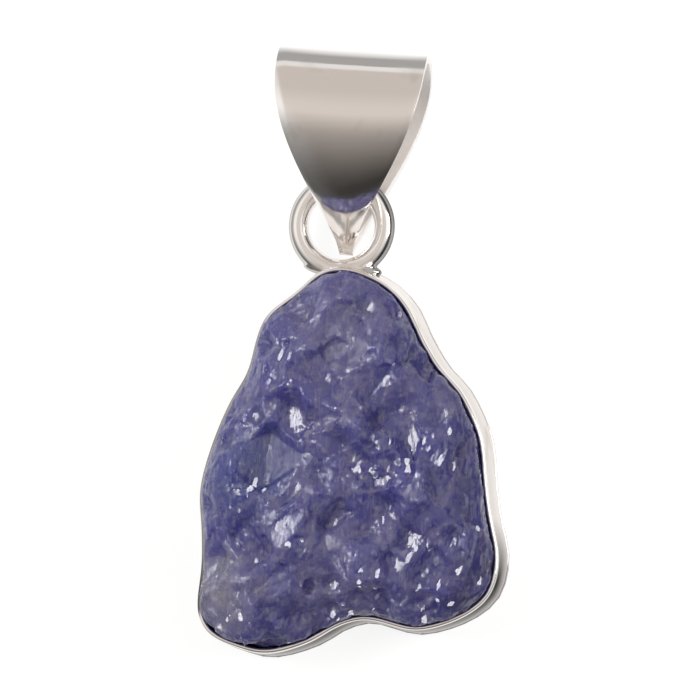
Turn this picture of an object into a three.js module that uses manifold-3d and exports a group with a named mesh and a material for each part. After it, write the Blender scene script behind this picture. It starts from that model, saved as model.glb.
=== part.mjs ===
// A rough tanzanite in a sterling silver pendant setting, lying on its back, in millimetres.
// +Z is out of the stone's face, +Y runs from the stone to the bail, and the origin is on the
// underside of the back plate, below the middle of the stone.
import * as THREE from "three";
import { mergeVertices } from "three/addons/utils/BufferGeometryUtils.js";
import Module from "manifold-3d";

const wasm = await Module();
wasm.setup();

// The bezel's rim seen from the front, clockwise from where the ring is soldered
const RIM_OUTLINE = [
  [-0.3, 10.1], [1.0, 9.8], [2.3, 9.1], [3.3, 8.0], [4.1, 6.3], [5.0, 4.8], [6.0, 3.7],
  [6.7, 2.4], [7.2, 1.0], [7.4, -1.3], [7.6, -2.9], [8.0, -5.2], [7.6, -6.9], [6.9, -7.7],
  [5.4, -8.5], [3.5, -8.9], [2.3, -8.6], [1.0, -8.3], [-0.3, -8.6], [-1.9, -9.5],
  [-4.2, -10.1], [-5.6, -9.8], [-7.3, -9.0], [-7.8, -7.9], [-7.6, -5.5], [-7.6, -3.6],
  [-7.7, -1.6], [-7.1, 0.7], [-6.1, 3.1], [-5.2, 4.6], [-4.7, 6.5], [-4.2, 7.6],
  [-2.5, 8.9], [-1.5, 9.8],
];
const OUTLINE_STEPS = 80;

// Setting
const PLATE_THICKNESS = 0.5;
const PLATE_MARGIN = 0.04; // how far the plate stands out past the wall's foot
const WALL_THICKNESS = 0.25;
const WALL_FLARE = 0.2; // how far the wall's foot stands outside its rim
const RIM_HEIGHT = 4.1;
const RIM_WAVE = 0.2; // the rim was pressed down by hand, so it rises and dips by this
const RIM_ROLL = 0.06; // how far the rim is rolled in over the stone
const RIM_ROLL_HEIGHT = 0.5;
const RIM_WAVES = [[0.6, 2, 0.6], [0.4, 5, 1.9]]; // each wave's share, count round the rim and start

// Stone
const STONE_STEPS = 56;
const STONE_TOP = 6.5;
const STONE_FOOT = 0.6;
const FOOT_HEIGHT = 0.5; // the stone's underside is rounded up to this far above its foot
const FOOT_ROUND = 0.3;
const FOOT_BULGE = 0.1;
const STONE_INSET = 0.43; // from the rim's outline to the stone, inside the setting
const STONE_OVERHANG = 0.34; // how far the stone bulges out over the rim at its left
const STONE_GAP = 0.06; // between the rim's crest and the stone above it
const STONE_BROW = 0.25; // height of the stone's edge above the rim
const STONE_LUMP = 0.35;
const STONE_LUMPS = [[0.75, 0.9, 0], [1.25, -0.7, 2]]; // each lump's run along x and y and its start
const STONE_CENTRE = new THREE.Vector3(0, -1, 0);
const STONE_HEART = new THREE.Vector3(0, -1, -6); // chips face away from this point
const DOME = [[0.96, 0.25], [0.88, 0.52], [0.76, 0.78], [0.58, 0.93], [0.3, 1]];
const SCOOP_COUNT = 120;
const SCOOP_RADIUS = [1.2, 3.4];
const SCOOP_DEPTH = [0.3, 0.62];
const STEP_COUNT = 30;
const STEP_SIZE = [0.5, 1.3];
const STEP_DEPTH = [0.12, 0.34];
const CHIP_TILT = 0.45;
const CHIP_STRETCH = [0.5, 1];
const GOLDEN_TURN = 0.618; // the part of a turn that spreads the scoops evenly
const CHIP_SEED = 8;

// The large flat breaks: where they are, how wide and long they are, and how far they are turned
const BREAKS = [
  [-3.0, -3.5, 1.5, 4.6, -45], [-2.5, 2.1, 1.3, 2.0, 10], [3.6, 1.0, 1.0, 2.6, 4],
  [2.0, -1.2, 1.5, 0.9, 20], [3.7, -4.0, 1.3, 1.4, 30], [-0.3, -6.5, 1.0, 0.9, 40],
  [-0.4, -7.8, 0.9, 0.8, 0], [-4.6, -4.9, 0.8, 1.3, -40], [1.2, 7.9, 1.0, 1.1, 15],
  [2.0, 3.6, 0.9, 1.2, -30], [-0.6, 0.7, 0.9, 1.2, 10], [-4.8, 2.0, 0.9, 0.9, 0],
];
const BREAK_DEPTH = 0.4;
const BREAK_FLARE = 6; // a break's sides open out to this many times its width
const BREAK_FACING = new THREE.Vector3(-0.28, 0.08, 0.955);
const BREAK_TILT = 0.06;
const BREAK_HEIGHT = 2;

// Ring that is soldered to the wall
const RING_CENTRE = new THREE.Vector3(-0.5, 12.36, 1.4);
const RING_RADIUS = 2.27;
const RING_WIRE = 0.54; // radius of the wire
const RING_GAP = 0.04; // the solder film between the ring and the wall
const RING_STEPS = [12, 40]; // round the wire and round the ring
const SOLDER_SIZE = [2.1, 0.5, 0.6]; // half the length, depth and height of the bar of solder
const SOLDER_PLACE = [-0.45, 10.1];
const SOLDER_DETAIL = 3;
const SOLDER_TURN = THREE.MathUtils.degToRad(-6);

// Bail: a tapered strip folded into a drop shape that hangs in the ring
const BAIL_TIP = new THREE.Vector3(-0.27, 10.82, 1.45);
const BAIL_LENGTH = 10.98;
const BAIL_BELLY = 7.3; // from the tip to where the drop is deepest
const BAIL_HALF_DEPTH = 3.4;
const BAIL_SHEET = 0.45;
const BAIL_WIDTH = [0.7, 7.75]; // at the tip and at the fold
const BAIL_TAPER = 1.5;
const BAIL_CROWN = 0.2; // the strip is domed across its width
const BAIL_SKEW = 0.4; // the back leg stands up to this part of the drop's depth further to the right
const BAIL_EDGE = 0.14; // chamfer along the strip's edges
const BAIL_TILT = THREE.MathUtils.degToRad(17.5); // its back leg lies on the surface
const BAIL_TURN = THREE.MathUtils.degToRad(-4.2);
const BAIL_STEPS = 34; // from the tip to the fold
const BAIL_REACH = 6; // half the length of the chain's way, which is cut right through the strip

// Materials
const TANZANITE = new THREE.MeshStandardMaterial({ color: 0x55528c, roughness: 0.2, metalness: 0 });
const SILVER = new THREE.MeshStandardMaterial({ color: 0xe6e4e0, roughness: 0.12, metalness: 1 });

// Numbers between 0 and 1 that are the same on every run
function seededRandom(seed) {
  let state = seed;
  return () => {
    state = (Math.imul(state, 1664525) + 1013904223) >>> 0;
    return state / 2 ** 32;
  };
}

const mix = ([low, high], share) => low + (high - low) * share;

// A geometry with points and triangles only
function meshOf(points, triangles) {
  const geometry = new THREE.BufferGeometry().setFromPoints(points);
  geometry.setIndex(triangles);
  geometry.computeVertexNormals();
  return geometry;
}

// Two triangles between neighbouring points of two rings of equal count
function band(lower, upper, count) {
  const triangles = [];
  for (let i = 0; i < count; i++) {
    const j = (i + 1) % count;
    triangles.push(lower + i, upper + i, lower + j, lower + j, upper + i, upper + j);
  }
  return triangles;
}

// A closed skin over a stack of rings that run clockwise seen from above, with a point at each end
function stackOfRings(rings, bottom, top) {
  const count = rings[0].length;
  const points = [...rings.flat(), bottom, top];
  const triangles = rings.slice(1).flatMap((_, i) => band(i * count, (i + 1) * count, count));
  const last = (rings.length - 1) * count;
  for (let i = 0; i < count; i++) {
    const j = (i + 1) % count;
    triangles.push(points.length - 2, i, j, points.length - 1, last + j, last + i);
  }
  return meshOf(points, triangles);
}

// A closed skin through cross-sections that go all the way round
function loopOfSections(sections) {
  const count = sections[0].length;
  const starts = sections.map((_, i) => i * count);
  const triangles = starts.flatMap((start, i) => band(start, starts[(i + 1) % starts.length], count));
  return meshOf(sections.flat(), triangles);
}

function solidOf(geometry) {
  const bare = geometry.clone();
  bare.deleteAttribute("normal");
  bare.deleteAttribute("uv");
  const merged = mergeVertices(bare, 1e-4);
  const vertProperties = merged.attributes.position.array;
  const triVerts = new Uint32Array(merged.index.array);
  return new wasm.Manifold(new wasm.Mesh({ numProp: 3, vertProperties, triVerts }));
}

function geometryOf(solid) {
  const { vertProperties, triVerts } = solid.getMesh();
  const geometry = new THREE.BufferGeometry();
  geometry.setAttribute("position", new THREE.BufferAttribute(vertProperties, 3));
  geometry.setIndex(new THREE.BufferAttribute(triVerts, 1));
  geometry.computeVertexNormals();
  return geometry;
}

function piece(name, geometry, material) {
  const mesh = new THREE.Mesh(geometry, material);
  mesh.name = name;
  return mesh;
}

// The rim's line from the front
const rimCurve = new THREE.CatmullRomCurve3(
  RIM_OUTLINE.map(([x, y]) => new THREE.Vector3(x, y, 0)),
  true,
  "centripetal",
);

// A place on the rim: where it is, which way is outward, and how high it stands there
function rimAt(share) {
  const along = rimCurve.getTangentAt(share);
  const turn = share * 2 * Math.PI;
  const waves = RIM_WAVES.map(([part, count, start]) => part * Math.sin(count * turn + start));
  return {
    at: rimCurve.getPointAt(share),
    out: new THREE.Vector3(-along.y, along.x, 0),
    height: RIM_HEIGHT + RIM_WAVE * waves.reduce((sum, wave) => sum + wave),
  };
}

const rimSteps = (count) => Array.from({ length: count }, (_, i) => rimAt(i / count));
const RIM = rimSteps(OUTLINE_STEPS);
const STONE_RIM = rimSteps(STONE_STEPS);

// The point that stands the given distance outside the rim's outline
function outside(rim, distance, z) {
  return rim.at.clone().addScaledVector(rim.out, distance).setZ(z);
}

// How far the wall's outer face stands outside the rim's outline at height z
function wallOffset(rim, z) {
  const share = (z - PLATE_THICKNESS) / (rim.height - PLATE_THICKNESS);
  return WALL_FLARE * (1 - share);
}

function backPlate() {
  const margin = WALL_FLARE + PLATE_MARGIN;
  const corners = RIM.map((rim) => outside(rim, margin, 0));
  const shape = new THREE.Shape(corners.map(({ x, y }) => new THREE.Vector2(x, y)));
  return new THREE.ExtrudeGeometry(shape, { depth: PLATE_THICKNESS, bevelEnabled: false });
}

function bezel() {
  const sections = RIM.map((rim) => {
    const shoulder = rim.height - RIM_ROLL_HEIGHT;
    const foot = wallOffset(rim, PLATE_THICKNESS);
    const bend = wallOffset(rim, shoulder);
    return [
      outside(rim, foot, PLATE_THICKNESS),
      outside(rim, foot - WALL_THICKNESS, PLATE_THICKNESS),
      outside(rim, bend - WALL_THICKNESS, shoulder),
      outside(rim, -RIM_ROLL - WALL_THICKNESS, rim.height - RIM_ROLL),
      outside(rim, -RIM_ROLL - WALL_THICKNESS / 3, rim.height),
      outside(rim, -RIM_ROLL / 3, rim.height - RIM_ROLL),
      outside(rim, bend, shoulder),
    ];
  });
  return loopOfSections(sections);
}

// A point on the stone's unchipped face: reach is 1 at its edge and 0 at its middle
function onDome(rim, reach) {
  const overhang = (STONE_OVERHANG * (1 - rim.out.x)) / 2;
  const edge = outside(rim, overhang - STONE_INSET, 0);
  const point = edge.lerp(STONE_CENTRE, 1 - reach);
  const rise = riseAt(reach);
  const lumps = STONE_LUMPS.map(([x, y, start]) => Math.sin(x * point.x + y * point.y + start));
  const height = THREE.MathUtils.lerp(rim.height + STONE_BROW, STONE_TOP, rise);
  return point.setZ(height + STONE_LUMP * rise * lumps.reduce((sum, lump) => sum + lump));
}

function riseAt(reach) {
  const profile = [[1, 0], ...DOME, [0, 1]];
  const inner = profile.findIndex(([scale]) => scale < reach);
  if (inner < 1) {
    return inner === 0 ? 0 : 1;
  }
  const [[scaleOut, riseOut], [scaleIn, riseIn]] = profile.slice(inner - 1);
  return mix([riseOut, riseIn], (scaleOut - reach) / (scaleOut - scaleIn));
}

function stoneBlank() {
  const inside = (inset, z) => STONE_RIM.map((rim) => outside(rim, -inset, z(rim)));
  const rings = [
    inside(STONE_INSET + FOOT_ROUND, () => STONE_FOOT),
    inside(STONE_INSET - FOOT_BULGE, () => STONE_FOOT + FOOT_HEIGHT),
    inside(STONE_INSET, (rim) => rim.height - RIM_ROLL_HEIGHT),
    inside(STONE_INSET, (rim) => rim.height + STONE_GAP),
    ...[1, ...DOME.map(([reach]) => reach)].map((reach) => STONE_RIM.map((rim) => onDome(rim, reach))),
  ];
  const bottom = STONE_CENTRE.clone().setZ(STONE_FOOT);
  return solidOf(stackOfRings(rings, bottom, onDome(RIM[0], 0)));
}

// A closed shape that is turned to face the given way, with its lowest part at the given point
function cutter(shape, at, facing, spin, size, drop) {
  const turn = new THREE.Quaternion().setFromUnitVectors(new THREE.Vector3(0, 0, 1), facing);
  turn.multiply(new THREE.Quaternion().setFromAxisAngle(new THREE.Vector3(0, 0, 1), spin));
  const centre = at.clone().addScaledVector(facing, size.z - drop);
  return solidOf(shape.clone().applyMatrix4(new THREE.Matrix4().compose(centre, turn, size)));
}

const LUMP = new THREE.IcosahedronGeometry(1);
const prism = (top, sides) => new THREE.CylinderGeometry(top, 1, 2, sides).rotateX(Math.PI / 2);
const SHARDS = [3, 4, 5].map((sides) => prism(1, sides));
const WEDGES = [4, 5].map((sides) => prism(BREAK_FLARE, sides));

function chips() {
  const random = seededRandom(CHIP_SEED);
  const lean = (most) => new THREE.Vector3(random() - 0.5, random() - 0.5, 0).multiplyScalar(2 * most);
  const chip = (shape, sizes, depths, share, turn) => {
    const at = onDome(rimAt(turn % 1), Math.sqrt(share));
    const facing = at.clone().sub(STONE_HEART).normalize().add(lean(CHIP_TILT)).normalize();
    const size = mix(sizes, random());
    const extent = new THREE.Vector3(size, size * mix(CHIP_STRETCH, random()), size);
    return cutter(shape, at, facing, random() * Math.PI, extent, mix(depths, random()));
  };
  const scoops = Array.from({ length: SCOOP_COUNT }, (_, i) =>
    chip(LUMP, SCOOP_RADIUS, SCOOP_DEPTH, (i + random()) / SCOOP_COUNT, i * GOLDEN_TURN),
  );
  const steps = Array.from({ length: STEP_COUNT }, (_, i) =>
    chip(SHARDS[i % SHARDS.length], STEP_SIZE, STEP_DEPTH, random(), random()),
  );
  const breaks = BREAKS.map(([x, y, width, length, turn], i) => {
    const facing = BREAK_FACING.clone().add(lean(BREAK_TILT)).normalize();
    const extent = new THREE.Vector3(width / 2, length / 2, BREAK_HEIGHT);
    const spin = THREE.MathUtils.degToRad(turn);
    return cutter(WEDGES[i % WEDGES.length], aboveStone(x, y), facing, spin, extent, BREAK_DEPTH);
  });
  return [...scoops, ...steps, ...breaks];
}

// The point of the unchipped face that is seen at x and y from the front
function aboveStone(x, y) {
  const ray = new THREE.Vector3(x, y, 0).sub(STONE_CENTRE);
  const edges = STONE_RIM.map((rim) => ({ rim, way: onDome(rim, 1).setZ(0).sub(STONE_CENTRE) }));
  const nearest = edges.reduce((best, edge) => (edge.way.angleTo(ray) < best.way.angleTo(ray) ? edge : best));
  return onDome(nearest.rim, ray.length() / nearest.way.length());
}

function stone() {
  return geometryOf(chips().reduce((rough, chip) => rough.subtract(chip), stoneBlank()));
}

// The space that the wall takes up, with the solder film round it
function wallSpace() {
  const rings = [PLATE_THICKNESS, RIM_HEIGHT].map((z) =>
    RIM.map((rim) => outside(rim, wallOffset(rim, z) + RING_GAP, z)),
  );
  const bottom = STONE_CENTRE.clone().setZ(PLATE_THICKNESS);
  const top = STONE_CENTRE.clone().setZ(RIM_HEIGHT);
  return solidOf(stackOfRings(rings, bottom, top));
}

// The wire ring, cut to the wall, with the bar of solder that holds it
function jumpRing() {
  const wire = new THREE.TorusGeometry(RING_RADIUS, RING_WIRE, ...RING_STEPS);
  wire.translate(...RING_CENTRE);
  const solder = new THREE.IcosahedronGeometry(1, SOLDER_DETAIL);
  solder.scale(...SOLDER_SIZE).rotateZ(SOLDER_TURN).translate(...SOLDER_PLACE, RING_CENTRE.z);
  return geometryOf(solidOf(wire).add(solidOf(solder)).subtract(wallSpace()));
}

// Half the drop's depth, from its tip at 0 to its fold at BAIL_LENGTH
function dropDepth(along) {
  if (along < BAIL_BELLY) {
    return BAIL_HALF_DEPTH * (1 - (1 - along / BAIL_BELLY) ** 2);
  }
  const past = (along - BAIL_BELLY) / (BAIL_LENGTH - BAIL_BELLY);
  return BAIL_HALF_DEPTH * Math.sqrt(Math.max(0, 1 - past ** 2));
}

// Half the drop's outline, from its tip to its fold, with its steps closer together at both ends
const DROP = Array.from({ length: BAIL_STEPS + 1 }, (_, i) => {
  const along = (BAIL_LENGTH * (1 - Math.cos((i / BAIL_STEPS) * Math.PI))) / 2;
  return new THREE.Vector2(along, dropDepth(along));
});

function bailWidth(along) {
  return mix(BAIL_WIDTH, Math.sin((along / BAIL_LENGTH) * (Math.PI / 2)) ** BAIL_TAPER);
}

// The drop in the round, as wide as the strip, domed across and chamfered at its edges
function solidDrop() {
  const rings = DROP.slice(1, -1).map(({ x: along, y: depth }) => {
    const half = bailWidth(along) / 2;
    const side = depth - Math.min(BAIL_CROWN, depth / 4);
    const edge = Math.min(BAIL_EDGE, half / 3, side / 3);
    const face = [[half, side - edge], [half - edge, side], [0, depth], [edge - half, side], [-half, side - edge]];
    const aside = BAIL_SKEW * depth * (1 - along / BAIL_LENGTH);
    const back = face.map(([x, z]) => [aside - x, -z]);
    return [...face, ...back].map(([x, z]) => new THREE.Vector3(x, along, z));
  });
  return solidOf(stackOfRings(rings, new THREE.Vector3(0, 0, 0), new THREE.Vector3(0, BAIL_LENGTH, 0)));
}

// The way for the chain: the drop's outline moved in by the thickness of the sheet
function chainWay() {
  const inner = DROP.slice(1, -1).map((at, i) => {
    const ahead = DROP[i + 2].clone().sub(DROP[i]).normalize();
    return at.clone().add(new THREE.Vector2(ahead.y, -ahead.x).multiplyScalar(BAIL_SHEET));
  });
  const front = inner.filter(({ y }) => y > 0);
  const back = front.map(({ x, y }) => new THREE.Vector2(x, -y)).reverse();
  const way = new THREE.ExtrudeGeometry(new THREE.Shape([...front, ...back]), {
    depth: 2 * BAIL_REACH,
    bevelEnabled: false,
  });
  const turned = new THREE.Matrix4().makeBasis(
    new THREE.Vector3(0, 1, 0),
    new THREE.Vector3(0, 0, 1),
    new THREE.Vector3(1, 0, 0),
  );
  return solidOf(way.translate(0, 0, -BAIL_REACH).applyMatrix4(turned));
}

function bail() {
  return geometryOf(solidDrop().subtract(chainWay()));
}

const bailMesh = piece("bail", bail(), SILVER);
bailMesh.position.copy(BAIL_TIP);
bailMesh.rotation.set(BAIL_TILT, 0, BAIL_TURN, "ZXY");

const pendant = new THREE.Group();
pendant.add(
  piece("tanzanite", stone(), TANZANITE),
  piece("bezel", bezel(), SILVER),
  piece("back_plate", backPlate(), SILVER),
  piece("jump_ring", jumpRing(), SILVER),
  bailMesh,
);

export default pendant;
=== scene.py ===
"""A rough tanzanite in a sterling silver pendant setting, lying on a white table."""

import math

import bmesh
import bpy
from bpy.props import FloatProperty, FloatVectorProperty, IntProperty, PointerProperty
from mathutils import Matrix, Vector


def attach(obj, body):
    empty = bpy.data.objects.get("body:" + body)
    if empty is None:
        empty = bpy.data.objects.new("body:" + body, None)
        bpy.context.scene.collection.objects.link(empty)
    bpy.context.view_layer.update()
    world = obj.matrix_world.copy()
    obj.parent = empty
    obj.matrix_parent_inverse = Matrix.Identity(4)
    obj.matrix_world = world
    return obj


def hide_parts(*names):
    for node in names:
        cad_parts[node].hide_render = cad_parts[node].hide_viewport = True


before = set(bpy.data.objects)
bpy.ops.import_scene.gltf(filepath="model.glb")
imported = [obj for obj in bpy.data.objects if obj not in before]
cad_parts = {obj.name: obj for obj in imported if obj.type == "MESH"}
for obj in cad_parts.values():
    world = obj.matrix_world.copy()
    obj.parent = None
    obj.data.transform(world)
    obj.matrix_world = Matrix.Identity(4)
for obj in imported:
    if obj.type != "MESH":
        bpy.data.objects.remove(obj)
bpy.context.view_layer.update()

bl_info = {
    "name": "Rough tanzanite pendant",
    "version": (1, 0, 0),
    "blender": (4, 5, 0),
    "location": "View3D > Sidebar > Pendant",
    "description": "Dresses a rough tanzanite, its silver setting and its bail",
    "category": "Add Mesh",
}

MM = 0.001


def linear(colour):
    """The linear colour of an sRGB hex value."""
    channels = [int(colour[i:i + 2], 16) / 255 for i in (1, 3, 5)]
    return (*(c / 12.92 if c <= 0.04045 else ((c + 0.055) / 1.055) ** 2.4 for c in channels), 1.0)


def length(name, description, millimetres):
    return FloatProperty(
        name=name, description=description, default=millimetres * MM, precision=6, unit="LENGTH"
    )


def tint(name, description, colour):
    return FloatVectorProperty(
        name=name, description=description, default=linear(colour),
        size=4, min=0, max=1, subtype="COLOR",
    )


def share(name, description, default):
    return FloatProperty(
        name=name, description=description, default=default, min=0, max=1, subtype="FACTOR"
    )


class StoneSettings(bpy.types.PropertyGroup):
    """Sizes and colours of the rough tanzanite"""

    grain: length("Grain", "Distance between the points of the stone's skin", 0.09)
    chip: length("Chip", "Width of a common chip", 1.0)
    chip_depth: length("Chip depth", "How far a common chip is tilted into the stone", 0.045)
    flake: length("Flake", "Width of a small flake", 0.45)
    flake_depth: length("Flake depth", "How far a small flake is tilted into the stone", 0.022)
    fleck: length("Fleck", "Size of the finest breaks", 0.2)
    fleck_depth: length("Fleck depth", "How deep the finest breaks go", 0.024)
    warp: length("Warp", "How far the edges of the breaks wander", 0.045)
    snug: length("Snug", "How far the stone's right edge bulges towards the rim", 0.13)
    ease: share("Ease", "How far the larger breaks are worn down", 0.45)
    violet: tint("Violet", "Colour of most of the stone", "#6f6dc2")
    blue: tint("Blue", "Colour where the crystal is seen along its blue axis", "#6470bd")
    veil: tint("Veil", "Colour of the cloudy cracks", "#aeaad0")
    cloud: tint("Cloud", "Colour of the cloudy patch at the lower left", "#cfcbcf")
    # Painted highlight: a pale colour painted along thin crack lines, standing for cracks that
    # glint
    painted_crack_glint: tint("Spark", "Colour of the thin cracks that catch the light", "#d9d6ea")
    stain: tint("Stain", "Colour of the brown rock stains", "#4d4348")
    depth_colour: tint("Depth colour", "Colour that the clear crystal lets through", "#8d86d6")
    depth_density: FloatProperty(
        name="Depth density", description="How fast the crystal takes up light, per metre",
        default=300.0,
    )


class SilverSettings(bpy.types.PropertyGroup):
    """Colours and finish of the silver"""

    colour: tint("Silver", "Colour of polished silver", "#f7f3f0")
    haze: tint("Haze", "Colour of silver that is less well polished", "#cdc6be")
    # Painted shade: a dark colour mixed into the silver's colour and its reflection tint. It
    # stands for shaded reflections on the bezel's outer wall and round the ring's edge
    painted_shade: tint("Tarnish", "Colour of silver that the polish missed", "#2f2e2b")
    # How high the painted shade reaches up the bezel's outer wall
    painted_shade_height: length("Tarnish height", "How far the tarnish comes up the setting", 3.65)
    roughness: share("Roughness", "How blurred the polish is", 0.1)


class BailSettings(bpy.types.PropertyGroup):
    """Sizes of the folded bail"""

    length: length("Length", "From the tip to the fold", 10.98)
    belly: length("Belly", "From the tip to where the drop is deepest", 7.3)
    half_depth: length("Half depth", "Half the drop's depth", 3.4)
    sheet: length("Sheet", "Thickness of the strip", 0.45)
    tip_width: length("Tip width", "Width of the strip at its tip", 0.7)
    fold_width: length("Fold width", "Width of the strip at its fold", 7.75)
    crown: length("Crown", "How far the strip is domed across", 0.2)
    skew: share("Skew", "How far the back leg stands to the right, in parts of the depth", 0.4)
    rows: IntProperty(name="Rows", description="Rows of faces along the strip", default=120, min=8)


class StageSettings(bpy.types.PropertyGroup):
    """Colours and light of the stage"""

    table: tint("Table", "Colour of the table's opal glass", "#7d7d7d")
    glow: FloatProperty(
        name="Glow", description="Light that comes up through the table", default=0.84
    )
    far_glow: FloatProperty(
        name="Far glow", description="Light through the table's far edges", default=0.15
    )
    panel: length("Panel", "Width of the table's bright panel", 37.6)
    room: tint("Room", "Colour of the ceiling", "#dad2cb")
    walls: tint("Walls", "Colour of the walls round the table", "#fbf9f7")
    key: FloatProperty(
        name="Key light", description="Brightness of the left softbox", default=8.5
    )
    fill: FloatProperty(
        name="Fill light", description="Brightness of the right softbox", default=9.0
    )


def add_node(tree, kind, inputs=None, **settings):
    """Adds a node, with a value or a link for each input that is named."""
    node = tree.nodes.new(kind)
    for name, value in settings.items():
        setattr(node, name, value)
    for socket, value in (inputs or {}).items():
        if isinstance(value, bpy.types.NodeSocket):
            tree.links.new(value, node.inputs[socket])
        else:
            node.inputs[socket].default_value = value
    return node


# A fade is a value, where it starts and ends, and what it gives at the start and at the end
FADE = ("Value", "From Min", "From Max", "To Min", "To Max")


def mask(tree, total, *fades):
    """How strong something is where it is multiplied by several fades."""
    for fade in fades:
        part = add_node(tree, "ShaderNodeMapRange", dict(zip(FADE, fade)))
        total = add_node(
            tree, "ShaderNodeMath", {0: total, 1: part.outputs["Result"]}, operation="MULTIPLY"
        ).outputs[0]
    return total


def only(obj):
    """Selects one object and nothing else."""
    if bpy.context.mode != "OBJECT":
        bpy.ops.object.mode_set(mode="OBJECT")
    bpy.ops.object.select_all(action="DESELECT")
    obj.select_set(True)
    bpy.context.view_layer.objects.active = obj
    return obj


def new_piece(name):
    """Names the primitive that was just added."""
    obj = bpy.context.object
    obj.name = obj.data.name = name
    return only(obj)


def copy_of(node, name):
    """A copy of a CAD node whose loose triangles are merged into one skin of quads."""
    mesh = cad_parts[node].data.copy()
    mesh.name = name
    mesh.materials.clear()
    obj = bpy.data.objects.new(name, mesh)
    bpy.context.scene.collection.objects.link(obj)
    only(obj)
    bpy.ops.object.mode_set(mode="EDIT")
    bpy.ops.mesh.select_all(action="SELECT")
    bpy.ops.mesh.customdata_custom_splitnormals_clear()
    bpy.ops.mesh.remove_doubles(threshold=0.001 * MM)
    bpy.ops.mesh.tris_convert_to_quads(face_threshold=math.pi, shape_threshold=math.pi)
    bpy.ops.object.mode_set(mode="OBJECT")
    return obj


def modify(obj, kind, **settings):
    """Adds a modifier and applies it."""
    only(obj)
    bpy.ops.object.modifier_add(type=kind)
    modifier = obj.modifiers[-1]
    for name, value in settings.items():
        setattr(modifier, name, value)
    bpy.ops.object.modifier_apply(modifier=modifier.name)


def round_edges(obj, width):
    """Rounds the sharp edges of a piece of sheet."""
    modify(
        obj, "BEVEL", width=width, segments=3,
        limit_method="ANGLE", angle_limit=math.radians(50),
    )


def finish_piece(obj, body, node, material, crease):
    """Gives a piece its material, its smooth faces and its place in the frame."""
    only(obj)
    obj.data.materials.clear()
    obj.data.materials.append(material)
    bpy.ops.object.shade_smooth_by_angle(angle=math.radians(crease))
    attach(obj, body)
    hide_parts(node)


def new_material(name):
    """A material with only its output and its shader, and its pattern's coordinates in metres."""
    material = bpy.data.materials.new(name)
    material.use_nodes = True
    tree = material.node_tree
    tree.nodes.clear()
    shader = add_node(tree, "ShaderNodeBsdfPrincipled")
    output = add_node(tree, "ShaderNodeOutputMaterial", {"Surface": shader.outputs["BSDF"]})
    place = add_node(tree, "ShaderNodeTexCoord").outputs["Object"]
    return material, tree, shader, output, place


def join_shader(tree, shader, colour, roughness, normal):
    """Links a material's patterns to its shader."""
    tree.links.new(colour, shader.inputs["Base Color"])
    tree.links.new(roughness, shader.inputs["Roughness"])
    tree.links.new(normal, shader.inputs["Normal"])


RING_CENTRE = Vector((-0.5, 12.36, 1.4)) * MM
RING_RADIUS = 2.27 * MM
RING_WIRE = 0.54 * MM
# How the painted shade on the silver varies with the polish noise
UNEVEN_PAINTED_SHADE = (0.3, 0.6, 1.0, 0.8)
POLISH_PATCH = 2.2 * MM
POLISH_LINE = 0.35 * MM
POLISH_DEPTH = 0.01 * MM
INSIDE_ROUGHNESS = 0.6


def wall_painted_shade(tree, place, cloud, settings):
    """Painted shade below the wall's rim, most at the bottom, and over the rim at the left:
    darkened reflections where the wall would face shaded table.
    """
    x, y, z = add_node(tree, "ShaderNodeSeparateXYZ", {"Vector": place}).outputs
    left = mask(
        tree, 1.0 * MM, (x, -6.0 * MM, -3.5 * MM, 1.0, 0.0), (y, -8.5 * MM, -7.0 * MM, 0.0, 1.0)
    )
    height = add_node(tree, "ShaderNodeMath", {0: z, 1: left}, operation="SUBTRACT").outputs[0]
    top = settings.painted_shade_height
    sides = add_node(
        tree, "ShaderNodeMapRange", dict(zip(FADE, (x, 0.0, 3.0 * MM, 0.6, 0.12)))
    ).outputs["Result"]
    return mask(
        tree, 1.0,
        (height, top, top + 0.3 * MM, 1.0, 0.0),
        (z, 0.8 * MM, 2.8 * MM, 0.4, 1.0),
        (y, -6.5 * MM, -3.0 * MM, 1.0, sides),
        (y, 6.0 * MM, 8.5 * MM, 1.0, 0.1),
        (cloud, *UNEVEN_PAINTED_SHADE),
    )


def ring_painted_shade(tree, place, cloud, settings):
    """Painted shade round the ring's outer edge, most of all at its right, standing for the dark
    room reflected in the wire's edge.
    """
    from_front = add_node(
        tree, "ShaderNodeVectorMath", {0: place, 1: (1.0, 1.0, 0.0)}, operation="MULTIPLY"
    )
    away = add_node(
        tree, "ShaderNodeVectorMath",
        {0: from_front.outputs["Vector"], 1: (RING_CENTRE.x, RING_CENTRE.y, 0.0)},
        operation="DISTANCE",
    ).outputs["Value"]
    across = add_node(tree, "ShaderNodeSeparateXYZ", {"Vector": place}).outputs["X"]
    return mask(
        tree, 1.0,
        (away, RING_RADIUS + 0.2 * MM, RING_RADIUS + 0.32 * MM, 0.0, 1.0),
        (across, -1.5 * MM, 1.5 * MM, 0.3, 0.75),
        (cloud, *UNEVEN_PAINTED_SHADE),
    )


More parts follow.
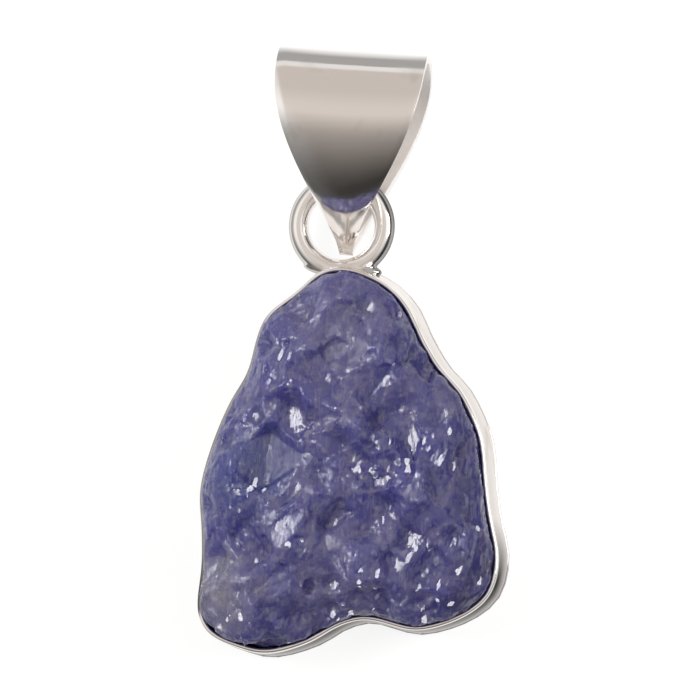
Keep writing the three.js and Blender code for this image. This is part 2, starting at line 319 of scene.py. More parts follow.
def silver_material(settings, name="polished_sterling_silver", painted_shade=None):
    """Sterling silver, polished by hand on a soft wheel.

    The wheel leaves fine lines and a polish that varies over a few millimetres, so that
    reflections are bright and a little blurred. Where a shade mask is given, painted shade darkens
    the silver's colour and its reflections, and the inner side of a fold stays matte. The lines
    are drawn coarser than real ones to show.
    """
    material, tree, shader, _, place = new_material(name)
    cloud = add_node(
        tree, "ShaderNodeTexNoise", {"Vector": place, "Scale": 1 / POLISH_PATCH, "Detail": 4.0}
    ).outputs["Fac"]
    hazy = add_node(tree, "ShaderNodeMapRange", dict(zip(FADE, (cloud, 0.58, 0.8, 0.0, 0.5))))
    layers = [(settings.haze, hazy.outputs["Result"])]
    # Painted shade: a dark colour mixed in where a shade mask is given
    if painted_shade:
        layers.append((settings.painted_shade, painted_shade(tree, place, cloud, settings)))
    colour = settings.colour
    for over, factor in layers:
        colour = add_node(
            tree, "ShaderNodeMix", {"Factor": factor, "A": colour, "B": over}, data_type="RGBA"
        ).outputs["Result"]
    # The painted shade also darkens the reflections, through the specular tint
    if painted_shade:
        tree.links.new(colour, shader.inputs["Specular Tint"])
    stretch = add_node(
        tree, "ShaderNodeMapping", {"Vector": place, "Scale": (0.08, 1.0, 1.0)}
    ).outputs["Vector"]
    lines = add_node(
        tree, "ShaderNodeTexNoise", {"Vector": stretch, "Scale": 1 / POLISH_LINE, "Detail": 3.0}
    ).outputs["Fac"]
    bump = add_node(
        tree, "ShaderNodeBump", {"Height": lines, "Strength": 0.25, "Distance": POLISH_DEPTH}
    ).outputs["Normal"]
    rough = settings.roughness
    rubbed = add_node(
        tree, "ShaderNodeMapRange", dict(zip(FADE, (cloud, 0.35, 0.7, 0.8 * rough, 1.6 * rough)))
    ).outputs["Result"]
    inside = add_node(tree, "ShaderNodeAttribute", attribute_name="inside").outputs["Fac"]
    matte = add_node(
        tree, "ShaderNodeMix",
        {"Factor": inside, "A": rubbed, "B": INSIDE_ROUGHNESS}, data_type="FLOAT",
    ).outputs["Result"]
    join_shader(tree, shader, colour, matte, bump)
    shader.inputs["Metallic"].default_value = 1.0
    return material


HALF = (0.5, 0.5, 0.5)


def tilted_cells(tree, place, size, depth, turn, stretch=0.55):
    """Long cells about one size across, turned by an angle, each a flat break at its own tilt.

    Gives the breaks' height, the warped place that the cells are laid out in and a tone per cell.
    """
    turned = add_node(
        tree, "ShaderNodeVectorRotate",
        {"Vector": place, "Rotation": (0.3, 0.2, math.radians(turn))}, rotation_type="EULER_XYZ",
    ).outputs["Vector"]
    moved = add_node(
        tree, "ShaderNodeVectorMath", {0: turned, 1: (1.0, stretch, 1.0)}, operation="MULTIPLY"
    ).outputs["Vector"]
    warp = add_node(
        tree, "ShaderNodeTexNoise", {"Vector": moved, "Scale": 1 / (1.4 * size), "Detail": 2.0}
    ).outputs["Color"]
    centred = add_node(
        tree, "ShaderNodeVectorMath", {0: warp, 1: HALF}, operation="SUBTRACT"
    ).outputs["Vector"]
    bent = add_node(
        tree, "ShaderNodeVectorMath",
        {0: centred, 1: (size, size, size), 2: moved}, operation="MULTIPLY_ADD",
    ).outputs["Vector"]
    cells = add_node(tree, "ShaderNodeTexVoronoi", {"Vector": bent, "Scale": 1 / size})
    lean = add_node(
        tree, "ShaderNodeVectorMath", {0: cells.outputs["Color"], 1: HALF}, operation="SUBTRACT"
    ).outputs["Vector"]
    across = add_node(
        tree, "ShaderNodeVectorMath",
        {0: bent, 1: cells.outputs["Position"]}, operation="SUBTRACT",
    ).outputs["Vector"]
    slope = add_node(
        tree, "ShaderNodeVectorMath", {0: lean, 1: across}, operation="DOT_PRODUCT"
    ).outputs["Value"]
    height = add_node(
        tree, "ShaderNodeMath", {0: slope, 1: 2 * depth / size}, operation="MULTIPLY"
    ).outputs[0]
    tone = add_node(tree, "ShaderNodeSeparateXYZ", {"Vector": cells.outputs["Color"]}).outputs["X"]
    return height, bent, tone


# The marks on the stone: their colour, their centre, how far they are full, how wide their
# ragged edge is, all in millimetres, and how strong they are
STONE_MARKS = (
    ("blue", (-5.0, -0.5, 5.5), 2.2, 3.0, 0.8),
    ("cloud", (-6.0, -6.9, 4.8), 1.5, 2.4, 0.75),
    ("veil", (-0.5, 7.0, 5.4), 1.8, 4.0, 0.55),
    ("veil", (0.0, -6.6, 5.4), 2.0, 4.0, 0.4),
    ("stain", (6.2, -7.3, 4.8), 0.3, 2.4, 0.8),
    ("stain", (1.6, -8.2, 4.6), 0.1, 1.4, 0.7),
    ("stain", (-7.4, -7.3, 4.6), 0.1, 1.2, 0.9),
)
# The large flat breaks, seen from the front: across, up and how far they reach, in millimetres,
# and how glossy they are
BREAKS = (
    (-3.0, -3.5, 2.2, 0.4), (-2.5, 2.1, 1.2, 0.8), (3.6, 1.0, 1.4, 1.0), (2.0, -1.2, 1.0, 1.0),
    (3.7, -4.0, 1.0, 1.0), (-0.3, -6.5, 0.7, 1.0), (-0.4, -7.8, 0.6, 1.0), (-4.6, -4.9, 0.9, 0.8),
    (1.2, 7.9, 0.8, 1.0), (2.0, 3.6, 0.8, 1.0), (-0.6, 0.7, 0.8, 0.8), (-4.8, 2.0, 0.6, 0.6),
)
FLAT_BREAK = Vector((-0.28, 0.08, 0.955)).normalized()
STONE_BARE = (3.9 * MM, 4.6 * MM)
STONE_RIM = 5.0 * MM
CLOUD_SIZE = 1.6 * MM
RAGGED_SIZE = 1.1 * MM
CRACK_WIDTH = 0.15 * MM
CRACK_TURNS = (math.radians(40), math.radians(-28))
STEP_WIDTH = 0.16 * MM
STEP_DEPTH = 0.012 * MM
STEP_TURN = math.radians(40)
FLECK_GROUP = 2.4 * MM
FLECK_CROWDING = 0.009 / MM
STREAK_SIZE = 0.5 * MM
WANDER_SIZE = 0.9 * MM
DULL_ROUGHNESS = 0.5
GLINT_ROUGHNESS = 0.12
TANZANITE_IOR = 1.69
SCATTER_RADIUS = (0.6, 0.6, 1.0)
SCATTER_SCALE = 2.5 * MM
CLEAR_SHARE = 0.55
WEAR_STEPS = 80


def crystal_colour(tree, place, cloud, settings):
    """The violet crystal with its veils, patches and stains, and painted highlights along thin
    cracks.
    """
    fades = [(settings.veil, (cloud, 0.52, 0.74, 0.0, 0.55))]
    for name, least, most in (("chip_tone", 0.7, 0.25), ("flake_tone", 0.75, 0.35)):
        tone = add_node(tree, "ShaderNodeAttribute", attribute_name=name).outputs["Fac"]
        fades.append((settings.veil, (tone, least, 1.0, 0.0, most)))
    rough = add_node(
        tree, "ShaderNodeTexNoise", {"Vector": place, "Scale": 1 / RAGGED_SIZE, "Detail": 5.0}
    ).outputs["Fac"]
    for name, centre, radius, ragged, most in STONE_MARKS:
        away = add_node(
            tree, "ShaderNodeVectorMath",
            {0: place, 1: [c * MM for c in centre]}, operation="DISTANCE",
        ).outputs["Value"]
        edge = add_node(
            tree, "ShaderNodeMath", {0: rough, 1: ragged * MM, 2: away}, operation="MULTIPLY_ADD"
        ).outputs[0]
        patch = (edge, radius * MM, (radius + ragged) * MM, most, 0.0)
        fades.append((getattr(settings, name), patch))
    # Painted highlights: thin crack lines painted a pale lavender in the crystal's colour,
    # standing for glints
    for turn in CRACK_TURNS:
        along = add_node(
            tree, "ShaderNodeMapping",
            {"Vector": place, "Rotation": (0.0, 0.0, turn), "Scale": (1.0, 0.14, 1.0)},
        ).outputs["Vector"]
        crack = add_node(
            tree, "ShaderNodeTexNoise", {"Vector": along, "Scale": 1 / CRACK_WIDTH, "Detail": 2.0}
        ).outputs["Fac"]
        fades.append((settings.painted_crack_glint, (crack, 0.6, 0.7, 0.0, 0.35)))
    border = add_node(tree, "ShaderNodeAttribute", attribute_name="chip_edge").outputs["Fac"]
    streak = add_node(
        tree, "ShaderNodeTexNoise", {"Vector": place, "Scale": 1 / STREAK_SIZE, "Detail": 4.0}
    ).outputs["Fac"]
    layers = [(over, 1.0, fade) for over, fade in fades]
    layers.append((settings.veil, border, (streak, 0.5, 0.65, 0.0, 0.75)))
    colour = settings.violet
    for over, most, fade in layers:
        factor = mask(tree, most, fade)
        colour = add_node(
            tree, "ShaderNodeMix", {"Factor": factor, "A": colour, "B": over}, data_type="RGBA"
        ).outputs["Result"]
    return colour


def crystal_flecks(tree, place, settings):
    """The height of the finest breaks, and the few of them that glint, most at the lower right."""
    height, _, tone = tilted_cells(tree, place, settings.fleck, settings.fleck_depth, 15, 0.4)
    group = add_node(
        tree, "ShaderNodeTexNoise", {"Vector": place, "Scale": 1 / FLECK_GROUP, "Detail": 3.0}
    ).outputs["Fac"]
    low_right = add_node(
        tree, "ShaderNodeVectorMath",
        {0: place, 1: (FLECK_CROWDING, -FLECK_CROWDING, 0.0)}, operation="DOT_PRODUCT",
    ).outputs["Value"]
    crowd = add_node(
        tree, "ShaderNodeMath", {0: low_right, 1: group}, operation="ADD"
    ).outputs[0]
    glint = mask(tree, 1.0, (tone, 0.82, 0.96, 0.0, 1.0), (crowd, 0.38, 0.62, 0.0, 1.0))
    return height, glint


def tanzanite_material(settings):
    """Tanzanite as it was broken out of the rock.

    The crystal is clear and violet-blue, with cloudy cracks and a few brown stains from the rock.
    Its breaks are glossy, with fine steps about 0.2 mm apart. It splits along one plane, so its
    small flecks face the same way as the large flat breaks and light up with them.
    """
    material, tree, shader, output, place = new_material("rough_tanzanite_crystal")
    cloud = add_node(
        tree, "ShaderNodeTexNoise",
        {"Vector": place, "Scale": 1 / CLOUD_SIZE, "Detail": 6.0, "Distortion": 0.8},
    ).outputs["Fac"]
    flecks, glint = crystal_flecks(tree, place, settings)
    flat, blunt = (
        add_node(tree, "ShaderNodeAttribute", attribute_name=name).outputs["Fac"]
        for name in ("flat_break", "dull_break")
    )
    grain = add_node(
        tree, "ShaderNodeMapping",
        {"Vector": place, "Rotation": (0.0, 0.0, STEP_TURN), "Scale": (1.0, 0.12, 1.0)},
    ).outputs["Vector"]
    steps = add_node(
        tree, "ShaderNodeTexNoise", {"Vector": grain, "Scale": 1 / STEP_WIDTH, "Detail": 2.0}
    ).outputs["Fac"]
    gloss, stepped = (
        add_node(tree, "ShaderNodeMapRange", dict(zip(FADE, fade))).outputs["Result"]
        for fade in ((cloud, 0.3, 0.7, 0.13, 0.34), (steps, 0.5, 0.62, 0.06, 0.4))
    )
    for factor, roughness in ((blunt, DULL_ROUGHNESS), (flat, stepped), (glint, GLINT_ROUGHNESS)):
        gloss = add_node(
            tree, "ShaderNodeMix",
            {"Factor": factor, "A": gloss, "B": roughness}, data_type="FLOAT",
        ).outputs["Result"]
    kept = add_node(
        tree, "ShaderNodeMath", {0: flat, 1: -0.9, 2: 1.0}, operation="MULTIPLY_ADD"
    ).outputs[0]
    fine = add_node(
        tree, "ShaderNodeMath", {0: flecks, 1: kept}, operation="MULTIPLY"
    ).outputs[0]
    relief = add_node(
        tree, "ShaderNodeMath", {0: steps, 1: STEP_DEPTH, 2: fine}, operation="MULTIPLY_ADD"
    ).outputs[0]
    bump = add_node(
        tree, "ShaderNodeBump", {"Height": relief, "Strength": 1.0, "Distance": 1.0}
    ).outputs["Normal"]
    cleavage = add_node(
        tree, "ShaderNodeVectorTransform", {"Vector": FLAT_BREAK},
        vector_type="NORMAL", convert_from="OBJECT", convert_to="WORLD",
    ).outputs["Vector"]
    facing = add_node(
        tree, "ShaderNodeMix", {"Factor": glint, "A": bump, "B": cleavage}, data_type="VECTOR"
    ).outputs["Result"]
    join_shader(tree, shader, crystal_colour(tree, place, cloud, settings), gloss, facing)
    for socket, value in {
        "IOR": TANZANITE_IOR,
        "Transmission Weight": CLEAR_SHARE,
        "Subsurface Weight": 1.0,
        "Subsurface Radius": SCATTER_RADIUS,
        "Subsurface Scale": SCATTER_SCALE,
    }.items():
        shader.inputs[socket].default_value = value
    absorb = add_node(
        tree, "ShaderNodeVolumeAbsorption",
        {"Color": settings.depth_colour, "Density": settings.depth_density},
    )
    tree.links.new(absorb.outputs["Volume"], output.inputs["Volume"])
    return material


def flat_breaks(tree, place, normal):
    """Where the skin lies level with the large flat breaks: the glossy ones and the dull rest."""
    facing = add_node(
        tree, "ShaderNodeVectorMath", {0: normal, 1: FLAT_BREAK}, operation="DOT_PRODUCT"
    ).outputs["Value"]
    level_with = add_node(
        tree, "ShaderNodeMapRange", dict(zip(FADE, (facing, 0.975, 0.99, 0.0, 1.0)))
    ).outputs["Result"]
    from_front = add_node(
        tree, "ShaderNodeVectorMath", {0: place, 1: (1.0, 1.0, 0.0)}, operation="MULTIPLY"
    ).outputs["Vector"]
    near = 0.0
    for across, up, radius, gloss in BREAKS:
        away = add_node(
            tree, "ShaderNodeVectorMath",
            {0: from_front, 1: (across * MM, up * MM, 0.0)}, operation="DISTANCE",
        ).outputs["Value"]
        inside = mask(tree, gloss, (away, 0.9 * radius * MM, 1.2 * radius * MM, 1.0, 0.0))
        near = add_node(
            tree, "ShaderNodeMath", {0: near, 1: inside}, operation="MAXIMUM"
        ).outputs[0]
    flat = add_node(
        tree, "ShaderNodeMath", {0: level_with, 1: near}, operation="MULTIPLY"
    ).outputs[0]
    dull = add_node(
        tree, "ShaderNodeMath", {0: level_with, 1: flat}, operation="SUBTRACT"
    ).outputs[0]
    return flat, dull


def broken_skin(settings):
    """Geometry nodes that break the stone's face into chips and leave its flat breaks."""
    tree = bpy.data.node_groups.new("broken_skin", "GeometryNodeTree")
    for way in ("INPUT", "OUTPUT"):
        tree.interface.new_socket("Geometry", in_out=way, socket_type="NodeSocketGeometry")
    start = add_node(tree, "NodeGroupInput")
    place = add_node(tree, "GeometryNodeInputPosition").outputs["Position"]
    normal = add_node(tree, "GeometryNodeInputNormal").outputs["Normal"]

    chips, chip_place, chip_tone = tilted_cells(
        tree, place, settings.chip, settings.chip_depth, 38
    )
    flakes, _, flake_tone = tilted_cells(tree, place, settings.flake, settings.flake_depth, -65)
    height = add_node(tree, "ShaderNodeMath", {0: chips, 1: flakes}, operation="ADD").outputs[0]
    border = add_node(
        tree, "ShaderNodeTexVoronoi",
        {"Vector": chip_place, "Scale": 1 / settings.chip}, feature="DISTANCE_TO_EDGE",
    ).outputs["Distance"]
    edge = add_node(
        tree, "ShaderNodeMapRange", dict(zip(FADE, (border, 0.03, 0.14, 1.0, 0.0)))
    ).outputs["Result"]
    flat, dull = flat_breaks(tree, place, normal)
    kept = add_node(
        tree, "ShaderNodeMath", {0: flat, 1: -0.88, 2: 1.0}, operation="MULTIPLY_ADD"
    ).outputs[0]
    level = add_node(tree, "ShaderNodeSeparateXYZ", {"Vector": place}).outputs["Z"]
    broken = mask(tree, kept, (level, *STONE_BARE, 0.0, 1.0))

    wander = add_node(
        tree, "ShaderNodeTexNoise", {"Vector": place, "Scale": 1 / WANDER_SIZE, "Detail": 2.0}
    )
    sideways = add_node(tree, "ShaderNodeSeparateXYZ", {"Vector": normal}).outputs["X"]
    right_side = mask(
        tree, wander.outputs["Fac"],
        (sideways, -0.1, 0.4, 0.0, 2 * settings.snug),
        (level, STONE_BARE[1], STONE_RIM, 1.0, 0.0),
    )
    rise = add_node(
        tree, "ShaderNodeMath", {0: height, 1: broken, 2: right_side}, operation="MULTIPLY_ADD"
    ).outputs[0]
    drift = add_node(
        tree, "ShaderNodeVectorMath", {0: wander.outputs["Color"], 1: HALF}, operation="SUBTRACT"
    ).outputs["Vector"]
    worn = add_node(
        tree, "GeometryNodeBlurAttribute",
        {"Value": place, "Iterations": WEAR_STEPS}, data_type="FLOAT_VECTOR",
    ).outputs["Value"]
    sunk = add_node(
        tree, "ShaderNodeVectorMath", {0: worn, 1: place}, operation="SUBTRACT"
    ).outputs["Vector"]
    reach, ease = (
        add_node(tree, "ShaderNodeMath", {0: broken, 1: most}, operation="MULTIPLY").outputs[0]
        for most in (4 * settings.warp, settings.ease)
    )
    offset = (0.0, 0.0, 0.0)
    for way, far in ((sunk, ease), (normal, rise), (drift, reach)):
        move = add_node(
            tree, "ShaderNodeVectorMath", {0: way, "Scale": far}, operation="SCALE"
        ).outputs["Vector"]
        offset = add_node(
            tree, "ShaderNodeVectorMath", {0: offset, 1: move}, operation="ADD"
        ).outputs["Vector"]

    skin = start.outputs["Geometry"]
    marks = {
        "flat_break": flat,
        "dull_break": dull,
        "chip_edge": edge,
        "chip_tone": chip_tone,
        "flake_tone": flake_tone,
    }
    for name, value in marks.items():
        skin = add_node(
            tree, "GeometryNodeStoreNamedAttribute",
            {"Geometry": skin, "Name": name, "Value": value},
        ).outputs["Geometry"]
    moved = add_node(tree, "GeometryNodeSetPosition", {"Geometry": skin, "Offset": offset})
    add_node(tree, "NodeGroupOutput", {"Geometry": moved.outputs["Geometry"]})
    return tree


FOOT_TOLERANCE = 0.02 * MM


def flatten_underside(stone):
    """Makes one face of the stone's flat underside, which lies on the plate."""
    only(stone)
    bpy.ops.object.mode_set(mode="EDIT")
    bpy.ops.mesh.select_mode(type="FACE")
    bpy.ops.mesh.select_all(action="DESELECT")
    skin = bmesh.from_edit_mesh(stone.data)
    foot = min(vertex.co.z for vertex in skin.verts) + FOOT_TOLERANCE
    for face in skin.faces:
        face.select_set(face.calc_center_median().z < foot and face.normal.z < -0.99)
    bmesh.update_edit_mesh(stone.data)
    bpy.ops.mesh.dissolve_faces()
    bpy.ops.object.mode_set(mode="OBJECT")


class PENDANT_OT_tanzanite(bpy.types.Operator):
    """Break a rough skin into a copy of the stone"""

    bl_idname = "pendant.tanzanite"
    bl_label = "Rough tanzanite"

    def execute(self, context):
        settings = context.scene.pendant_stone
        stone = copy_of("tanzanite", "rough_tanzanite")
        modify(stone, "REMESH", mode="VOXEL", voxel_size=settings.grain)
        flatten_underside(stone)
        modify(stone, "NODES", node_group=broken_skin(settings))
        crystal = tanzanite_material(settings)
        finish_piece(stone, "pendant", "tanzanite", crystal, crease=35)
        return {"FINISHED"}


PLATE_EDGE = 0.08 * MM


class PENDANT_OT_setting(bpy.types.Operator):
    """Smooth the bezel's wall above its sharp foot and round the back plate's edges"""

    bl_idname = "pendant.setting"
    bl_label = "Bezel and back plate"

    def execute(self, context):
        settings = context.scene.pendant_silver
        # The wall's silver carries painted shade below its rim and over the rim at the left
        silver = silver_material(settings, "wall_silver_painted_shade", wall_painted_shade)
        wall = copy_of("bezel", "bezel_wall")
        mesh = wall.data
        foot = min(vertex.co.z for vertex in mesh.vertices) + FOOT_TOLERANCE
        low = [vertex.co.z < foot for vertex in mesh.vertices]
        sharp = mesh.attributes.new("crease_edge", "FLOAT", "EDGE")
        at_foot = [float(all(low[v] for v in edge.vertices)) for edge in mesh.edges]
        sharp.data.foreach_set("value", at_foot)
        modify(wall, "SUBSURF", levels=2, render_levels=2)
        finish_piece(wall, "pendant", "bezel", silver, crease=60)
        plate = copy_of("back_plate", "setting_plate")
        bpy.ops.object.mode_set(mode="EDIT")
        bpy.ops.mesh.select_all(action="SELECT")
        bpy.ops.mesh.dissolve_limited(angle_limit=math.radians(1))
        bpy.ops.object.mode_set(mode="OBJECT")
        round_edges(plate, PLATE_EDGE)
        finish_piece(plate, "pendant", "back_plate", silver, crease=40)
        return {"FINISHED"}


SOLDER_PLACE = Vector((-0.45, 10.1, 1.4)) * MM
SOLDER_SIZE = Vector((2.1, 0.5, 0.6)) * MM
SOLDER_TURN = math.radians(-6)
SOLDER_GRAIN = 0.06 * MM
# The back plate's outline, drawn in to the wall's outer face and raised past the ring
WALL_CUT = (0.986, 0.986, 8, 1)


class PENDANT_OT_jump_ring(bpy.types.Operator):
    """Fuse a ring of wire with its bar of solder and cut both to the bezel's wall"""

    bl_idname = "pendant.jump_ring"
    bl_label = "Soldered ring"

    def execute(self, context):
        bpy.ops.object.select_all(action="DESELECT")
        bpy.ops.mesh.primitive_uv_sphere_add(segments=48, ring_count=24, radius=1)
        solder = new_piece("solder_bar")
        solder.data.transform(
            Matrix.Translation(SOLDER_PLACE)
            @ Matrix.Rotation(SOLDER_TURN, 4, "Z")
            @ Matrix.Diagonal((*SOLDER_SIZE, 1))
        )
        bpy.ops.object.select_all(action="DESELECT")
        bpy.ops.mesh.primitive_torus_add(
            major_radius=RING_RADIUS, minor_radius=RING_WIRE,
            major_segments=120, minor_segments=36,
        )
        ring = new_piece("soldered_ring")
        ring.data.transform(Matrix.Translation(RING_CENTRE))
        solder.select_set(True)
        bpy.ops.object.join()
        modify(ring, "REMESH", mode="VOXEL", voxel_size=SOLDER_GRAIN)
        modify(ring, "SMOOTH", factor=0.5, iterations=8)
        wall = copy_of("back_plate", "wall_cutter")
        wall.data.transform(Matrix.Diagonal(WALL_CUT))
        modify(ring, "BOOLEAN", object=wall, operation="DIFFERENCE", solver="EXACT")
        bpy.data.objects.remove(wall)
        settings = context.scene.pendant_silver
        # The ring's silver carries painted shade round its outer edge
        silver = silver_material(settings, "ring_silver_painted_shade", ring_painted_shade)
        finish_piece(ring, "pendant", "jump_ring", silver, crease=50)
        return {"FINISHED"}


BAIL_TIP = Vector((-0.27, 10.82, 1.45)) * MM
BAIL_TILT = math.radians(17.5)
BAIL_TURN = math.radians(-4.2)
BAIL_TAPER = 1.5
BAIL_COLUMNS = 16
BAIL_EDGE = 0.1 * MM


class PENDANT_OT_bail(bpy.types.Operator):
    """Fold a tapered strip of sheet into a drop"""

    bl_idname = "pendant.bail"
    bl_label = "Folded bail"

    def execute(self, context):
        settings = context.scene.pendant_bail

        def folded(across, round_share):
            """Where a point of the flat strip goes: across from -1 to 1, round from 0 to 1."""
            front = round_share <= 0.5
            turn = 2 * (round_share if front else 1 - round_share)
            along = settings.length * (1 - math.cos(math.pi * turn)) / 2
            if along < settings.belly:
                depth = settings.half_depth * (1 - (1 - along / settings.belly) ** 2)
            else:
                past = (along - settings.belly) / (settings.length - settings.belly)
                depth = settings.half_depth * math.sqrt(max(0.0, 1 - past ** 2))
            taper = math.sin(along / settings.length * math.pi / 2) ** BAIL_TAPER
            width = settings.tip_width + (settings.fold_width - settings.tip_width) * taper
            aside = 0.0 if front else settings.skew * depth * (1 - along / settings.length)
            depth -= min(settings.crown, depth / 4) * across ** 2
            return Vector((across * width / 2 + aside, along, depth if front else -depth))

        place = (
            Matrix.Translation(BAIL_TIP)
            @ Matrix.Rotation(BAIL_TURN, 4, "Z")
            @ Matrix.Rotation(BAIL_TILT, 4, "X")
        )
        bpy.ops.object.select_all(action="DESELECT")
        bpy.ops.mesh.primitive_grid_add(
            x_subdivisions=BAIL_COLUMNS, y_subdivisions=settings.rows, size=2
        )
        bail = new_piece("folded_bail")
        for vertex in bail.data.vertices:
            vertex.co = place @ folded(vertex.co.x, (vertex.co.y + 1) / 2)
        bpy.ops.object.mode_set(mode="EDIT")
        bpy.ops.mesh.select_all(action="SELECT")
        bpy.ops.mesh.remove_doubles(threshold=0.01 * MM)
        bpy.ops.mesh.normals_make_consistent(inside=False)
        bpy.ops.object.mode_set(mode="OBJECT")
        outer = len(bail.data.vertices)
        modify(bail, "SOLIDIFY", thickness=settings.sheet, offset=-1, use_even_offset=True)
        inside = bail.data.attributes.new("inside", "FLOAT", "POINT")
        is_inner = [float(i >= outer) for i in range(len(bail.data.vertices))]
        inside.data.foreach_set("value", is_inner)
        round_edges(bail, BAIL_EDGE)
        silver = silver_material(context.scene.pendant_silver)
        finish_piece(bail, "bail", "bail", silver, crease=40)
        return {"FINISHED"}


CAMERA_TARGET = Vector((0.21, 5.72, 4.0)) * MM
CAMERA_SIDE = Vector((0.1045, -0.0436, 0.9936)).normalized()
CAMERA_DISTANCE = 253 * MM
CAMERA_LENS = 250
CAMERA_SENSOR = 36
CAMERA_SEES = (10 * MM, 10)
LIGHT_DISTANCE = 350 * MM
KEY_SIDE = Vector((-0.62, 0.19, 0.76)).normalized()
KEY_SIZE = 0.13
FILL_SIDE = Vector((0.8, 0.1, 0.55)).normalized()
FILL_SIZE = 0.15
TABLE_SIZE = 1.2
TABLE_DROP = 0.02 * MM
PANEL_FADE = 9 * MM
SILVER_PIECES = ("bezel_wall", "setting_plate", "soldered_ring", "folded_bail")
CEILING_SLOPE = 0.46
# The dark cards at the right and at the left, and how dark they are
SIDE_CARDS = ((1.0, 0.8), (-1.0, 0.45))


def room_light(settings):
    """White walls and a beige ceiling strip, which grow dark towards the viewer's side."""
    world = bpy.data.worlds.new("studio_room")
    bpy.context.scene.world = world
    world.use_nodes = True
    tree = world.node_tree
    tree.nodes.clear()
    way = add_node(tree, "ShaderNodeTexCoord").outputs["Generated"]
    x, y, z = add_node(tree, "ShaderNodeSeparateXYZ", {"Vector": way}).outputs
    sideways, lengthwise = (
        add_node(tree, "ShaderNodeMath", {0: part}, operation="ABSOLUTE").outputs[0]
        for part in (x, y)
    )
    height = add_node(
        tree, "ShaderNodeMath", {0: lengthwise, 1: CEILING_SLOPE, 2: z}, operation="MULTIPLY_ADD"
    ).outputs[0]
    ceiling = mask(tree, 1.0, (height, 0.62, 0.66, 0.0, 1.0), (sideways, 0.3, 0.4, 1.0, 0.0))
    colour = add_node(
        tree, "ShaderNodeMix",
        {"Factor": ceiling, "A": settings.walls, "B": settings.room}, data_type="RGBA",
    ).outputs["Result"]
    strength = mask(tree, 1.0, (y, -0.95, 0.0, 0.06, 1.0), (y, 0.2, 0.6, 1.0, 0.86))
    for side, shade in SIDE_CARDS:
        card = mask(
            tree, -shade, (x, 0.6 * side, 0.7 * side, 0.0, 1.0), (z, 0.5, 0.6, 1.0, 0.0)
        )
        strength = add_node(
            tree, "ShaderNodeMath",
            {0: strength, 1: card, 2: strength}, operation="MULTIPLY_ADD",
        ).outputs[0]
    background = add_node(tree, "ShaderNodeBackground", {"Color": colour, "Strength": strength})
    add_node(tree, "ShaderNodeOutputWorld", {"Surface": background.outputs["Background"]})


def light_table_material(settings):
    """Opal glass over lamps, so that the table is white by the pendant and fades further out."""
    material, tree, shader, _, place = new_material("opal_glass_light_table")
    from_middle = add_node(
        tree, "ShaderNodeVectorMath", {0: place, 1: CAMERA_TARGET}, operation="SUBTRACT"
    ).outputs["Vector"]
    size = add_node(
        tree, "ShaderNodeVectorMath", {0: from_middle}, operation="ABSOLUTE"
    ).outputs["Vector"]
    x, y, _ = add_node(tree, "ShaderNodeSeparateXYZ", {"Vector": size}).outputs
    away = add_node(tree, "ShaderNodeMath", {0: x, 1: y}, operation="MAXIMUM").outputs[0]
    edge = settings.panel / 2
    glow = add_node(
        tree, "ShaderNodeMapRange",
        dict(zip(FADE, (away, edge, edge + PANEL_FADE, settings.glow, settings.far_glow))),
    )
    tree.links.new(glow.outputs["Result"], shader.inputs["Emission Strength"])
    for socket, value in {
        "Emission Color": linear("#ffffff"),
        "Base Color": settings.table,
        "Roughness": 0.8,
        "Specular IOR Level": 0.1,
    }.items():
        shader.inputs[socket].default_value = value
    return material


def softbox(name, side, size, brightness):
    """A square light that faces the pendant, with the given radiance."""
    bpy.ops.object.light_add(type="AREA", location=CAMERA_TARGET + side * LIGHT_DISTANCE)
    lamp = bpy.context.object
    lamp.name = name
    lamp.rotation_euler = side.to_track_quat("Z", "Y").to_euler()
    lamp.data.size = size
    lamp.data.energy = brightness * math.pi * size * size
    return lamp


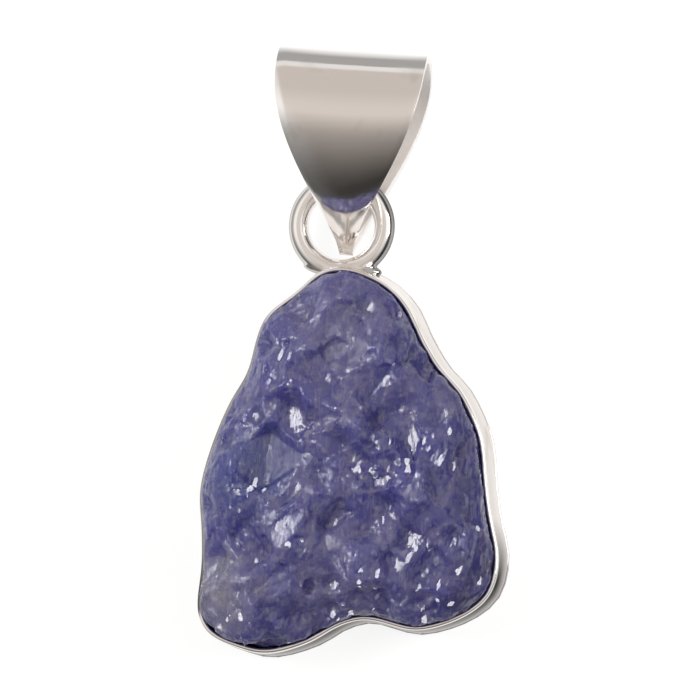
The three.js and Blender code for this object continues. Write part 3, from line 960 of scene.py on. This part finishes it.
class PENDANT_OT_stage(bpy.types.Operator):
    """Lay a white table, hang the softboxes and set up the camera"""

    bl_idname = "pendant.stage"
    bl_label = "Stage"

    def execute(self, context):
        settings = context.scene.pendant_stage
        bpy.ops.object.select_all(action="DESELECT")
        bpy.ops.mesh.primitive_plane_add(size=TABLE_SIZE, location=(0, 0, -TABLE_DROP))
        table = new_piece("white_table")
        table.data.materials.append(light_table_material(settings))
        room_light(settings)
        key = softbox("key_softbox", KEY_SIDE, KEY_SIZE, settings.key)
        fill = softbox("fill_softbox", FILL_SIDE, FILL_SIZE, settings.fill)
        for lamp, names in ((key, ("rough_tanzanite",)), (fill, SILVER_PIECES)):
            lit = bpy.data.collections.new("lit_by_" + lamp.name)
            for piece in (*(bpy.data.objects[name] for name in names), table):
                lit.objects.link(piece)
            lamp.light_linking.receiver_collection = lit
        bpy.ops.object.camera_add(location=CAMERA_TARGET + CAMERA_SIDE * CAMERA_DISTANCE)
        camera = context.object
        right = Vector((0, 1, 0)).cross(CAMERA_SIDE).normalized()
        axes = Matrix((right, CAMERA_SIDE.cross(right), CAMERA_SIDE))
        camera.rotation_euler = axes.transposed().to_euler()
        camera.data.lens = CAMERA_LENS
        camera.data.sensor_width = CAMERA_SENSOR
        camera.data.clip_start, camera.data.clip_end = CAMERA_SEES
        context.scene.camera = camera
        context.scene.view_settings.view_transform = "Standard"
        return {"FINISHED"}


OPERATORS = (
    PENDANT_OT_tanzanite,
    PENDANT_OT_setting,
    PENDANT_OT_jump_ring,
    PENDANT_OT_bail,
    PENDANT_OT_stage,
)


class PENDANT_PT_pieces(bpy.types.Panel):
    """The pieces of the pendant"""

    bl_label = "Rough tanzanite pendant"
    bl_space_type = "VIEW_3D"
    bl_region_type = "UI"
    bl_category = "Pendant"

    def draw(self, context):
        for operator in OPERATORS:
            self.layout.operator(operator.bl_idname)


SETTINGS = {
    "pendant_stone": StoneSettings,
    "pendant_silver": SilverSettings,
    "pendant_bail": BailSettings,
    "pendant_stage": StageSettings,
}
CLASSES = (*SETTINGS.values(), *OPERATORS, PENDANT_PT_pieces)


def register():
    for item in CLASSES:
        bpy.utils.register_class(item)
    for name, group in SETTINGS.items():
        setattr(bpy.types.Scene, name, PointerProperty(type=group))


def unregister():
    for name in SETTINGS:
        delattr(bpy.types.Scene, name)
    for item in reversed(CLASSES):
        bpy.utils.unregister_class(item)


def main():
    register()
    bpy.ops.pendant.tanzanite()
    bpy.ops.pendant.setting()
    bpy.ops.pendant.jump_ring()
    bpy.ops.pendant.bail()
    bpy.ops.pendant.stage()


if __name__ == "__main__":
    main()
